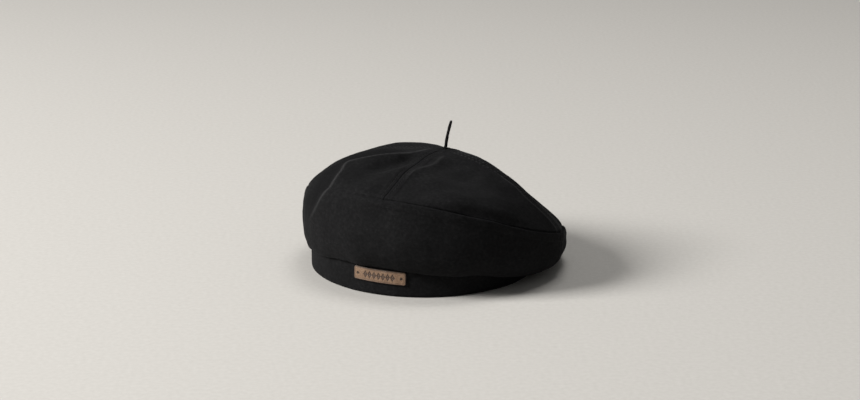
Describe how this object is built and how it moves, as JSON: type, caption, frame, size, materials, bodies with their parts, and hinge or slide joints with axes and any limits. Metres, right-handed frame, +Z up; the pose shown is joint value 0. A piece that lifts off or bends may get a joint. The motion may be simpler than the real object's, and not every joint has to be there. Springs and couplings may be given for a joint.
{
  "type": "beret",
  "caption": "Soft wool beret with a wide, slouched panelled crown, a turned headband, a fabric stalk and a leather tag.",
  "frame": {"origin": "middle of the box around the beret, at the height of the headband's hem, on which it stands", "axes": "+Z up out of the crown, -Y towards the front where the tag is, +X to the wearer's left, the side that the crown slouches to"},
  "size_m": [0.2217, 0.2208, 0.1201],
  "materials": {
    "wool": "matt, lightly felted charcoal wool",
    "stiffener": "bonded non-woven",
    "ribbon": "ribbed grosgrain",
    "lining": "smooth satin",
    "leather": "vegetable-tanned, darker burnished edge",
    "tag_thread": "waxed thread",
    "label": "woven tape, blank"
  },
  "bodies": {
    "hat": {"crown_panel_front_left": "wool", "crown_panel_front_right": "wool", "crown_panel_back_left": "wool", "crown_panel_back_right": "wool", "side_panel_front": "wool", "side_panel_back": "wool", "headband_outer": "wool", "headband_interlining": "stiffener", "sweatband": "ribbon", "lining_crown": "lining", "lining_side": "lining", "stem_anchor": "wool", "leather_tag": "leather", "tag_stitch_left": "tag_thread", "tag_stitch_right": "tag_thread"},
    "stem": {"stem": "wool"},
    "care_label": {"care_label": "label"},
    "size_label": {"size_label": "label"}
  },
  "joints": [
    {"name": "stem_bend", "type": "hinge", "parent": "hat", "child": "stem", "pos_m": [0.0096, 0.0092, 0.0955], "axis": [0, 1, 0], "range_deg": [-35, 35], "stiffness_Nm_per_rad": 0.002},
    {"name": "care_label_flip", "type": "hinge", "parent": "hat", "child": "care_label", "pos_m": [0.02005, 0.08129, 0.029], "axis": [-0.9455, 0.3256, 0], "range_deg": [0, 110]},
    {"name": "size_label_flip", "type": "hinge", "parent": "hat", "child": "size_label", "pos_m": [-0.0089, 0.08673, 0.029], "axis": [-1, 0, 0], "range_deg": [0, 110]}
  ]
}
